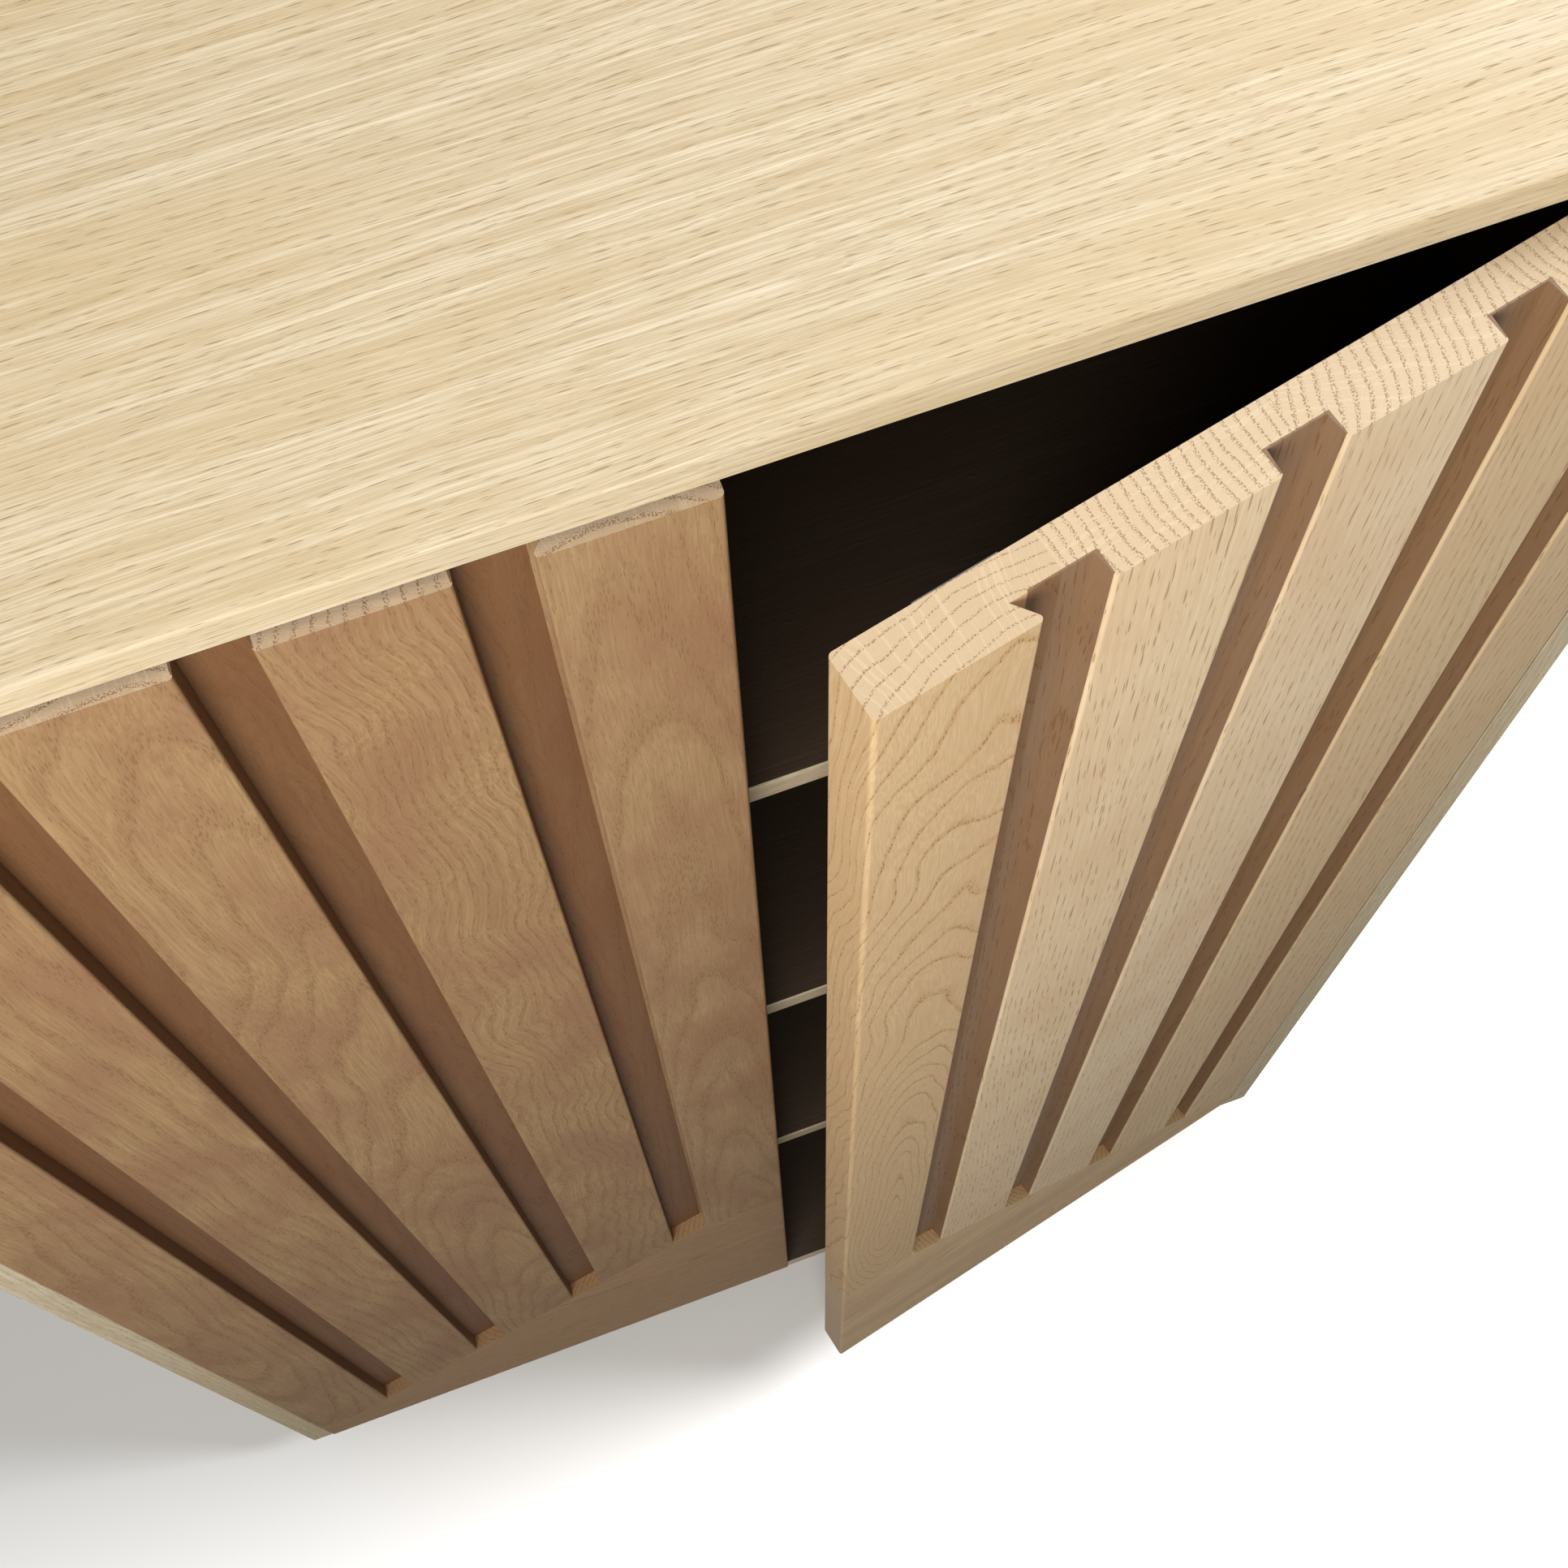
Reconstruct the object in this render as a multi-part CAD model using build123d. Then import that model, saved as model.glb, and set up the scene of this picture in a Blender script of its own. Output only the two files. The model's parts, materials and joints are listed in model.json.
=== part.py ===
from build123d import *
import math
import os

# Tall media cabinet with two slatted doors.
#
# Cabinet coordinates, in millimetres: X = 0 is the middle of the cabinet and +X is to the right, Y = 0 is
# the front of the closed doors and +Y is to the back, Z = 0 is the bottom edge of the doors. Every piece is
# drawn there with both doors closed. At the end the right door is turned ajar, and everything is moved so that
# the origin is on the floor, under the middle of the box around the whole cabinet.

# ---------------------------------------------------------------- driving sizes
# Doors
slat_count = 5
slat_width = 60.0
groove_width = 24.0
groove_depth = 10.0
groove_flare = 1.0          # how far a groove wall leans out from its foot to its mouth
finger_undercut = 7.0       # how far the finger groove reaches in under the slat nearest the middle
slat_arris = 1.4            # rounding of the slats' front edges
door_arris = 2.0            # rounding of a door's outer edges
door_thickness = 25.0
door_height = 1372.0
rail_high = 300.0           # height of the bottom rail under the slat nearest the middle
rail_low = 28.0             # height of the bottom rail at the hinge edge
ajar_angle = 12.5           # how far the right door stands open

# Gaps round the doors
middle_gap = 4.0
side_gap = 3.0
top_gap = 2.5
bottom_gap = 2.0
door_proud = 4.0            # how far the doors stand in front of the carcass

# Carcass
panel_thickness = 16.0
carcass_depth = 400.0
panel_arris = 1.0
shelf_count = 3
shelf_thickness = 16.0
shelf_behind_door = 6.0     # from the doors' backs to the shelves' front edges
shelf_back_gap = 2.0
shelf_side_gap = 0.5
back_thickness = 6.0
back_lap = 8.0              # how far the back panel laps into the rebates
back_fit = 0.3
cable_hole_radius = 30.0
cable_hole_height = 60.0    # centre of a cable hole above the floor of its compartment

# Plinth
plinth_height = 48.0
plinth_thickness = 16.0
plinth_front_recess = 40.0
plinth_side_recess = 5.0
plinth_back_recess = 5.0
block_side = 30.0
block_height = 40.0
glide_thickness = 2.0
glide_radius = 7.5
glide_nail_radius = 1.2
glide_nail_length = 14.0

# Pivot hinges
pivot_from_edge = 14.0      # from the door's hinge edge to the pivot
pivot_from_front = 10.0     # from the slat faces to the pivot
pivot_radius = 4.0
pivot_clearance = 0.05
pivot_reach = 8.5           # how far a pin stands into its plate
pin_in_door = 12.0          # how far a pin stands into its door
leaf_thickness = 2.0
leaf_width = 14.0
leaf_tail = 9.0             # plate length from the pivot towards the hinge edge
leaf_length = 46.0          # plate length from the pivot towards the middle
boss_radius = 7.0
boss_height = 10.0
leaf_screw_places = (20.0, 36.0)
washer_radius = 7.0
washer_play = 0.3

# Magnetic catches
catch_from_edge = 45.0      # from the door's meeting edge to the middle of the catch
catch_width = 48.0
catch_depth = 16.0
catch_height = 16.0
magnet_width = 24.0
magnet_depth = 5.0
magnet_height = 9.0
strike_thickness = 1.0
strike_width = 30.0
strike_height = 8.0
catch_play = 0.3

# Joinery
seat_clearance = 0.1        # round a let-in fitting, dowel or screw
dowel_play = 0.1            # beyond a dowel's end
dowel_radius = 4.0
dowel_in_edge = 20.0
dowel_in_face = 10.0
rail_dowel_radius = 5.0
rail_dowel_reach = 20.0
cam_radius = 7.5
cam_depth = 12.0
cam_from_joint = 24.0
cam_bolt_radius = 2.5
cam_head_radius = 3.4
pin_radius = 2.5
pin_in_panel = 9.0
pin_tab = 9.0
pin_tab_width = 7.0
pin_tab_thickness = 2.5

# Screws: head radius, head height, shank radius, whole length
hinge_screw = (3.4, 1.9, 1.6, 14.0)
catch_screw = (2.6, 1.4, 1.3, 20.0)
strike_screw = (2.3, 0.9, 1.2, 12.0)
back_screw = (3.2, 1.8, 1.6, 20.0)
block_screw = (3.8, 2.2, 2.0, 50.0)

# ---------------------------------------------------------------- sizes worked out from them
pitch = slat_width + groove_width
door_width = slat_count * pitch - groove_width
inner_half = middle_gap / 2 + door_width + side_gap
outer_half = inner_half + panel_thickness
carcass_front = door_proud
carcass_back = carcass_front + carcass_depth
top_underside = door_height + top_gap
top_surface = top_underside + panel_thickness
floor_surface = -bottom_gap
base_underside = floor_surface - panel_thickness
plinth_foot = base_underside - plinth_height
ground = plinth_foot - glide_thickness
back_face = carcass_back - back_thickness
shelf_front = door_thickness + shelf_behind_door
shelf_back = back_face - shelf_back_gap
compartment = (top_underside - floor_surface - shelf_count * shelf_thickness) / (shelf_count + 1)
pivot_x = middle_gap / 2 + door_width - pivot_from_edge
pivot_y = pivot_from_front

ajar = math.radians(ajar_angle)
corner_x = door_width - pivot_from_edge - door_arris
corner_y = pivot_from_front - door_arris
front_most = pivot_y - corner_x * math.sin(ajar) - corner_y * math.cos(ajar) - door_arris
to_row = Location((0, -(front_most + carcass_back) / 2, -ground))

UP, DOWN = Vector(0, 0, 1), Vector(0, 0, -1)
BACKWARD, FORWARD = Vector(0, 1, 0), Vector(0, -1, 0)


# ---------------------------------------------------------------- general shapes
def block(x0, x1, y0, y1, z0, z1):
    """A box between two corners."""
    middle = Pos((x0 + x1) / 2, (y0 + y1) / 2, (z0 + z1) / 2)
    return middle * Box(abs(x1 - x0), abs(y1 - y0), abs(z1 - z0))


def rod(start, direction, radius, length):
    """A round rod from its start along a direction."""
    end_plane = Plane(origin=start, z_dir=direction)
    return end_plane * Cylinder(radius, length, align=(Align.CENTER, Align.CENTER, Align.MIN))


def cone(start, direction, radius, far_radius, length):
    """A cut-off cone from its start along a direction."""
    end_plane = Plane(origin=start, z_dir=direction)
    return end_plane * Cone(radius, far_radius, length, align=(Align.CENTER, Align.CENTER, Align.MIN))


def screw(head, direction, size):
    """A countersunk screw whose head lies level with the point head."""
    head_radius, head_height, shank_radius, length = size
    tip_length = 2 * shank_radius
    shank_length = length - head_height - tip_length
    solid = cone(head, direction, head_radius, shank_radius, head_height)
    solid += rod(head + direction * head_height, direction, shank_radius, shank_length)
    tip = head + direction * (length - tip_length)
    solid += cone(tip, direction, shank_radius, shank_radius / 5, tip_length)
    recess = cone(head, direction, head_radius * 0.45, head_radius * 0.12, head_height * 0.8)
    return solid - recess


def screw_bore(head, direction, size):
    """The hole that a screw lies in."""
    head_radius, head_height, shank_radius, length = size
    head_hole = cone(head, direction, head_radius + seat_clearance, shank_radius + seat_clearance, head_height)
    return head_hole + rod(head, direction, shank_radius + seat_clearance, length + seat_clearance)


def group(solids):
    """Separate solids kept together as one node."""
    return Compound([solid for piece in solids for solid in piece.solids()])


def minus_all(solid, cutters):
    """A solid after a list of cuts."""
    for cutter in cutters:
        solid = solid - cutter
    return solid


def side_name(side):
    """The name of the side that a sign stands for."""
    return "left" if side < 0 else "right"


# ---------------------------------------------------------------- places that pieces share
def spread(low, high, count):
    """Evenly spaced places from low to high, both included."""
    return [low + (high - low) * index / (count - 1) for index in range(count)]


shelf_tops = [
    floor_surface + (index + 1) * compartment + (index + 1) * shelf_thickness
    for index in range(shelf_count)
]
joint_rows = spread(carcass_front + 40, back_face - 40, 3)
cam_rows = spread(carcass_front + 80, back_face - 80, 2)
pin_rows = (shelf_front + 40, shelf_back - 40)
edge_middle = inner_half + panel_thickness / 2
base_middle = (floor_surface + base_underside) / 2
glide_places = [
    (x, y)
    for x in (-(outer_half - plinth_side_recess - 30), 0, outer_half - plinth_side_recess - 30)
    for y in (
        carcass_front + plinth_front_recess + plinth_thickness / 2,
        carcass_back - plinth_back_recess - plinth_thickness / 2,
    )
]


def dowel_seats():
    """Start, direction and length of each carcass dowel."""
    seats = []
    for y in joint_rows:
        for side in (-1, 1):
            upright = Vector(side * edge_middle, y, top_underside - dowel_in_edge)
            lying = Vector(side * (inner_half - dowel_in_edge), y, base_middle)
            seats.append((upright, UP))
            seats.append((lying, Vector(side, 0, 0)))
    return seats


def dowel_hole(start, direction):
    """The hole for one carcass dowel, with a little play at both ends."""
    length = dowel_in_edge + dowel_in_face + 2 * dowel_play
    return rod(start - direction * dowel_play, direction, dowel_radius + seat_clearance, length)


def cam_seats():
    """For each cam: its centre on the panel's surface, the way in, and the way to the joint."""
    seats = []
    for y in cam_rows:
        for side in (-1, 1):
            across = Vector(side, 0, 0)
            seats.append((Vector(side * inner_half, y, top_underside - cam_from_joint), across, UP))
            seats.append((Vector(side * (inner_half - cam_from_joint), y, base_underside), UP, across))
    return seats


def cam_middle(face, inward):
    """The point inside a cam that its bolt points at."""
    return face + inward * (panel_thickness / 2)


def back_screw_heads():
    """Head points of the back panel's screws, on the back panel's outer face."""
    side_x = inner_half + back_lap / 2
    heads = [(side * side_x, z) for side in (-1, 1) for z in spread(60, top_underside - 60, 6)]
    heads += [(x, z) for x in spread(-inner_half / 2, inner_half / 2, 3)
              for z in (top_underside + back_lap / 2, floor_surface - back_lap / 2)]
    return [Vector(x, carcass_back, z) for x, z in heads]


def block_corners():
    """Middle of each plinth corner block, in plan."""
    x = outer_half - plinth_side_recess - plinth_thickness - block_side / 2
    front = carcass_front + plinth_front_recess + plinth_thickness + block_side / 2
    back = carcass_back - plinth_back_recess - plinth_thickness - block_side / 2
    return [(side * x, y) for side in (-1, 1) for y in (front, back)]


def catch_middle(side):
    """Middle of a catch across the cabinet."""
    return side * (middle_gap / 2 + catch_from_edge)


def catch_screw_heads(side):
    """Head points of a catch's screws, on the underside of its case."""
    case_front = door_thickness + strike_thickness + catch_play
    y = case_front + catch_depth / 2
    reach = (catch_width + magnet_width) / 4
    return [Vector(catch_middle(side) + step * reach, y, top_underside - catch_height) for step in (-1, 1)]


# ---------------------------------------------------------------- pivot hinges
def hinge_plan(side, z0, z1, clearance=0.0):
    """The plate of a hinge part, or with a clearance the recess it is let into."""
    inner = pivot_x - leaf_length - clearance
    outer = pivot_x + leaf_tail + clearance
    half = leaf_width / 2 + clearance
    plate = block(inner, outer, pivot_y - half, pivot_y + half, z0, z1)
    plate = fillet(plate.edges().filter_by(Axis.Z), half * 0.45)
    return plate if side > 0 else mirror(plate, Plane.YZ)


def hinge_screw_heads(side, z):
    """Head points of a hinge part's screws."""
    return [Vector(side * (pivot_x - place), pivot_y, z) for place in leaf_screw_places]


def fixed_plate(side, face, inward):
    """A hinge plate let in level with a carcass face, with a boss and the bore that a pin turns in."""
    pivot = Vector(side * pivot_x, pivot_y, face)
    plate = hinge_plan(side, face, face + inward.Z * leaf_thickness)
    plate += rod(pivot, inward, boss_radius, boss_height)
    plate -= rod(pivot, inward, pivot_radius + pivot_clearance, pivot_reach + washer_play)
    return minus_all(plate, [screw_bore(head, inward, hinge_screw) for head in hinge_screw_heads(side, face)])


def fixed_plate_recess(side, face, inward):
    """The hollow in a carcass panel that a hinge plate and its screws fill."""
    pivot = Vector(side * pivot_x, pivot_y, face)
    hollow = hinge_plan(side, face, face + inward.Z * (leaf_thickness + seat_clearance), seat_clearance)
    hollow += rod(pivot, inward, boss_radius + seat_clearance, boss_height + seat_clearance)
    for head in hinge_screw_heads(side, face):
        hollow += screw_bore(head, inward, hinge_screw)
    return hollow


def leaf(side, face, inward, gap):
    """A hinge leaf let in level with a door's end, with the pin that stands out of it."""
    pin_start = Vector(side * pivot_x, pivot_y, face) + inward * pin_in_door
    plate = hinge_plan(side, face, face + inward.Z * leaf_thickness)
    plate = minus_all(plate, [screw_bore(head, inward, hinge_screw) for head in hinge_screw_heads(side, face)])
    return plate + rod(pin_start, -inward, pivot_radius, pin_in_door + gap + pivot_reach)


def leaf_recess(side, face, inward):
    """The hollow in a door's end that a hinge leaf, its pin and its screws fill."""
    pivot = Vector(side * pivot_x, pivot_y, face)
    hollow = hinge_plan(side, face, face + inward.Z * (leaf_thickness + seat_clearance), seat_clearance)
    hollow += rod(pivot, inward, pivot_radius + seat_clearance, pin_in_door + seat_clearance)
    for head in hinge_screw_heads(side, face):
        hollow += screw_bore(head, inward, hinge_screw)
    return hollow


# ---------------------------------------------------------------- carcass
def top_panel():
    panel = block(-outer_half, outer_half, carcass_front, carcass_back, top_underside, top_surface)
    panel = fillet(panel.edges(), panel_arris)
    inner = inner_half + back_lap + back_fit
    cuts = [block(-inner, inner, back_face - back_fit, carcass_back + 1,
                  top_underside - 1, top_underside + back_lap + back_fit)]
    cuts += [fixed_plate_recess(side, top_underside, UP) for side in (-1, 1)]
    for side in (-1, 1):
        cuts += [rod(head, UP, catch_screw[2] + seat_clearance, catch_screw[3] + seat_clearance)
                 for head in catch_screw_heads(side)]
    cuts += [dowel_hole(*seat) for seat in dowel_seats() if seat[1] == UP]
    bolt_reach = cam_from_joint + dowel_in_face
    cuts += [rod(cam_middle(face, inward), way, cam_bolt_radius + seat_clearance, bolt_reach)
             for face, inward, way in cam_seats() if way == UP]
    cuts += [screw_bore(head, FORWARD, back_screw) for head in back_screw_heads() if head.Z > top_underside]
    return minus_all(panel, cuts)


def side_panel(side):
    panel = block(side * inner_half, side * outer_half, carcass_front, carcass_back,
                  base_underside, top_underside)
    front_edges = panel.edges().filter_by(Axis.Z).group_by(Axis.Y)[0]
    panel = fillet(front_edges, panel_arris)
    inner = side * (inner_half - 1)
    cuts = [block(inner, side * (inner_half + back_lap + back_fit), back_face - back_fit, carcass_back + 1,
                  floor_surface - back_lap - back_fit, top_underside + 1)]
    across = Vector(side, 0, 0)
    cuts += [dowel_hole(*seat) for seat in dowel_seats() if seat[0].X * side > 0]
    for face, inward, way in cam_seats():
        if face.X * side > 0:
            middle = cam_middle(face, inward)
            cuts.append(rod(middle, way, cam_head_radius + seat_clearance, cam_from_joint + dowel_in_face))
            if inward == across:
                cuts.append(rod(face, inward, cam_radius + seat_clearance, cam_depth + seat_clearance))
    for shelf_top in shelf_tops:
        cuts += [rod(Vector(side * inner_half, y, shelf_top - shelf_thickness - pin_radius), across,
                     pin_radius + seat_clearance, pin_in_panel + seat_clearance) for y in pin_rows]
    cuts += [screw_bore(head, FORWARD, back_screw) for head in back_screw_heads() if head.X * side > inner_half]
    return minus_all(panel, cuts)


def bottom_panel():
    panel = block(-inner_half, inner_half, carcass_front, carcass_back, base_underside, floor_surface)
    panel = fillet(panel.edges().filter_by(Axis.X).group_by(Axis.Y)[0], panel_arris)
    cuts = [block(-inner_half - 1, inner_half + 1, back_face - back_fit, carcass_back + 1,
                  floor_surface - back_lap - back_fit, floor_surface + 1)]
    cuts += [fixed_plate_recess(side, floor_surface, DOWN) for side in (-1, 1)]
    cuts += [dowel_hole(*seat) for seat in dowel_seats() if seat[1] != UP]
    for face, inward, way in cam_seats():
        if inward == UP:
            cuts.append(rod(face, inward, cam_radius + seat_clearance, cam_depth + seat_clearance))
            cuts.append(rod(cam_middle(face, inward), way, cam_head_radius + seat_clearance, cam_from_joint))
    cuts += [screw_bore(head, FORWARD, back_screw) for head in back_screw_heads() if head.Z < floor_surface]
    cuts += [rod(Vector(x, y, base_underside - block_height), UP, block_screw[2] + seat_clearance,
                 block_screw[3] + seat_clearance) for x, y in block_corners()]
    return minus_all(panel, cuts)


def back_panel():
    inner = inner_half + back_lap
    low, high = floor_surface - back_lap, top_underside + back_lap
    panel = block(-inner, inner, back_face, carcass_back, low, high)
    cuts = [screw_bore(head, FORWARD, back_screw) for head in back_screw_heads()]
    for compartment_floor in (floor_surface, shelf_tops[0]):
        centre = Vector(0, back_face - 1, compartment_floor + cable_hole_height)
        cuts.append(rod(centre, BACKWARD, cable_hole_radius, back_thickness + 2))
    return minus_all(panel, cuts)


def shelf(top):
    half = inner_half - shelf_side_gap
    board = block(-half, half, shelf_front, shelf_back, top - shelf_thickness, top)
    return fillet(board.edges().filter_by(Axis.X).group_by(Axis.Y)[0], panel_arris)


def shelf_pin(side, y, shelf_top):
    """A pin in the side panel with a flat tab that the shelf lies on."""
    underside = shelf_top - shelf_thickness
    middle = Vector(side * (inner_half + pin_in_panel), y, underside - pin_radius)
    stem = rod(middle, Vector(-side, 0, 0), pin_radius, pin_in_panel + 1)
    tab = block(side * inner_half, side * (inner_half - pin_tab), y - pin_tab_width / 2, y + pin_tab_width / 2,
                underside - pin_tab_thickness, underside)
    return stem + tab


def cam_disc(face, inward, way):
    """A cam with the hole that the bolt's head sits in."""
    disc = rod(face, inward, cam_radius, cam_depth)
    return disc - rod(cam_middle(face, inward), way, cam_head_radius + seat_clearance, 2 * cam_radius)


def cam_bolt(face, inward, way):
    """A bolt from the cam to the panel across the joint."""
    middle = cam_middle(face, inward)
    head = rod(middle + way * seat_clearance, way, cam_head_radius, 3)
    return head + rod(middle + way, way, cam_bolt_radius, cam_from_joint + dowel_in_face - 1.5)


def plinth_bar(x0, x1, y0, y1):
    """One bar of the plinth, with holes for the glides' nails."""
    bar = block(x0, x1, y0, y1, plinth_foot, base_underside)
    nail_depth = glide_nail_length - glide_thickness + seat_clearance
    nail_holes = [rod(Vector(x, y, plinth_foot), UP, glide_nail_radius + seat_clearance, nail_depth)
                  for x, y in glide_places]
    return minus_all(bar, nail_holes)


def glide(x, y):
    """A plastic disc with a nail that holds it in the plinth."""
    foot = Vector(x, y, ground)
    return rod(foot, UP, glide_radius, glide_thickness) + rod(foot, UP, glide_nail_radius, glide_nail_length)


def corner_block(x, y):
    """A glue block in a corner of the plinth, with its screw's hole."""
    half = block_side / 2
    foot = base_underside - block_height
    solid = block(x - half, x + half, y - half, y + half, foot, base_underside)
    return solid - screw_bore(Vector(x, y, foot), UP, block_screw)


def pivot_washer(side):
    """A thrust washer on a lower hinge plate, round the pin."""
    centre = Vector(side * pivot_x, pivot_y, floor_surface)
    height = bottom_gap - washer_play
    return rod(centre, UP, washer_radius, height) - rod(centre, UP, pivot_radius + washer_play, height)


def magnet_block(side, clearance=0.0):
    """The magnet of a catch, or with a clearance the pocket it sits in."""
    middle, half = catch_middle(side), magnet_width / 2 + clearance
    case_front = door_thickness + strike_thickness + catch_play
    z = top_underside - catch_height / 2
    return block(middle - half, middle + half, case_front - clearance, case_front + magnet_depth + clearance,
                 z - magnet_height / 2 - clearance, z + magnet_height / 2 + clearance)


def catch_case(side):
    """The plastic case of a magnetic catch, under the top panel."""
    middle, half = catch_middle(side), catch_width / 2
    case_front = door_thickness + strike_thickness + catch_play
    case = block(middle - half, middle + half, case_front, case_front + catch_depth,
                 top_underside - catch_height, top_underside)
    case = fillet(case.edges().filter_by(Axis.Z), 2.0)
    return minus_all(case - magnet_block(side, seat_clearance),
                     [screw_bore(head, UP, catch_screw) for head in catch_screw_heads(side)])


# ---------------------------------------------------------------- doors, drawn closed on the right-hand side
def rail_line(u):
    """Height of the rail's top line at a distance u from the meeting edge."""
    slope = (rail_high - rail_low) / (door_width - slat_width)
    return rail_high - slope * max(0.0, u - slat_width)


def stave_outline(index):
    """Corners of a stave's section: full thickness under the slat, thin where the grooves are."""
    near, far = index * pitch, index * pitch + slat_width
    if index == 0:
        corners = [(near, door_thickness), (near, 0)]
    else:
        joint = near - groove_width / 2
        corners = [(joint, door_thickness), (joint, groove_depth)]
        corners += [(near - groove_flare, groove_depth), (near, 0)]
    if index == slat_count - 1:
        corners += [(far, 0), (far, door_thickness)]
    else:
        joint = far + groove_width / 2
        foot = far - finger_undercut if index == 0 else far + groove_flare
        corners += [(far, 0), (foot, groove_depth), (joint, groove_depth), (joint, door_thickness)]
    return corners


def rail_body(front, back):
    """The bottom rail's outline, as thick as asked."""
    corners = [(0, 0), (door_width, 0), (door_width, rail_low), (slat_width, rail_high), (0, rail_high)]
    outline = make_face(Polyline([(middle_gap / 2 + u, z) for u, z in corners], close=True))
    return Pos(0, back, 0) * (Rotation(90, 0, 0) * extrude(outline, back - front))


def rail_dowel_start(index):
    """Foot of the dowel between the rail and one stave."""
    u = index * pitch + slat_width / 2
    y = (groove_depth + door_thickness) / 2
    return Vector(middle_gap / 2 + u, y, rail_line(u) - rail_dowel_reach)


def rail_dowel_hole(index):
    radius = rail_dowel_radius + seat_clearance
    start = rail_dowel_start(index) - UP * seat_clearance
    return rod(start, UP, radius, 2 * (rail_dowel_reach + seat_clearance))


def strike_screw_head():
    """Head point of the strike plate's screw."""
    z = top_underside - catch_height / 2
    return Vector(catch_middle(1), door_thickness + strike_thickness, z)


def door_hollows():
    """Everything that is cut into a door's wood for its hinges and strike plate."""
    strike_hole = rod(strike_screw_head(), FORWARD, strike_screw[2] + seat_clearance,
                      strike_screw[3] + seat_clearance)
    return [leaf_recess(1, door_height, DOWN), leaf_recess(1, 0, UP), strike_hole]


def at_door_side(point):
    """Whether a point lies on the meeting edge or the hinge edge of the door."""
    u = point.X - middle_gap / 2
    return min(abs(u), abs(u - door_width)) < 0.01


def stave(index):
    """One glued stave of a door, with its slat and half of the groove on each side."""
    section = make_face(Polyline([(middle_gap / 2 + u, y) for u, y in stave_outline(index)], close=True))
    slat_corners = [corner for corner in section.vertices()
                    if abs(corner.Y) < 0.01 and not at_door_side(corner)]
    section = fillet(slat_corners, slat_arris)
    door_corners = [corner for corner in section.vertices() if at_door_side(corner)]
    if door_corners:
        section = fillet(door_corners, door_arris)
    wood = extrude(section, door_height)
    wood -= rail_body(-1, door_thickness + 1)
    return minus_all(wood, door_hollows() + [rail_dowel_hole(index)])


def bottom_rail():
    """The rail across a door's foot, with lying grain, on which the grooves end."""
    rail = rail_body(0, door_thickness)
    rail = fillet(rail.edges().filter_by(Axis.Z) + rail.edges().group_by(Axis.Z)[0], door_arris)
    return minus_all(rail, door_hollows() + [rail_dowel_hole(index) for index in range(slat_count)])


def strike_plate():
    """The steel plate on a door's back that its magnet holds."""
    middle, half = catch_middle(1), strike_width / 2
    z = top_underside - catch_height / 2
    plate = block(middle - half, middle + half, door_thickness, door_thickness + strike_thickness,
                  z - strike_height / 2, z + strike_height / 2)
    return plate - screw_bore(strike_screw_head(), FORWARD, strike_screw)


def door_pieces():
    """All pieces of a door by name, closed, on the right-hand side."""
    pieces = {f"slat_stave_{index + 1}": stave(index) for index in range(slat_count)}
    pieces["bottom_rail"] = bottom_rail()
    pieces["rail_dowels"] = group([rod(rail_dowel_start(index), UP, rail_dowel_radius, 2 * rail_dowel_reach)
                                   for index in range(slat_count)])
    pieces["upper_hinge_leaf"] = leaf(1, door_height, DOWN, top_gap)
    pieces["lower_hinge_leaf"] = leaf(1, 0, UP, bottom_gap)
    screws = [screw(head, DOWN, hinge_screw) for head in hinge_screw_heads(1, door_height)]
    screws += [screw(head, UP, hinge_screw) for head in hinge_screw_heads(1, 0)]
    pieces["leaf_screws"] = group(screws)
    pieces["strike_plate"] = strike_plate()
    pieces["strike_screw"] = screw(strike_screw_head(), FORWARD, strike_screw)
    return pieces


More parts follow.
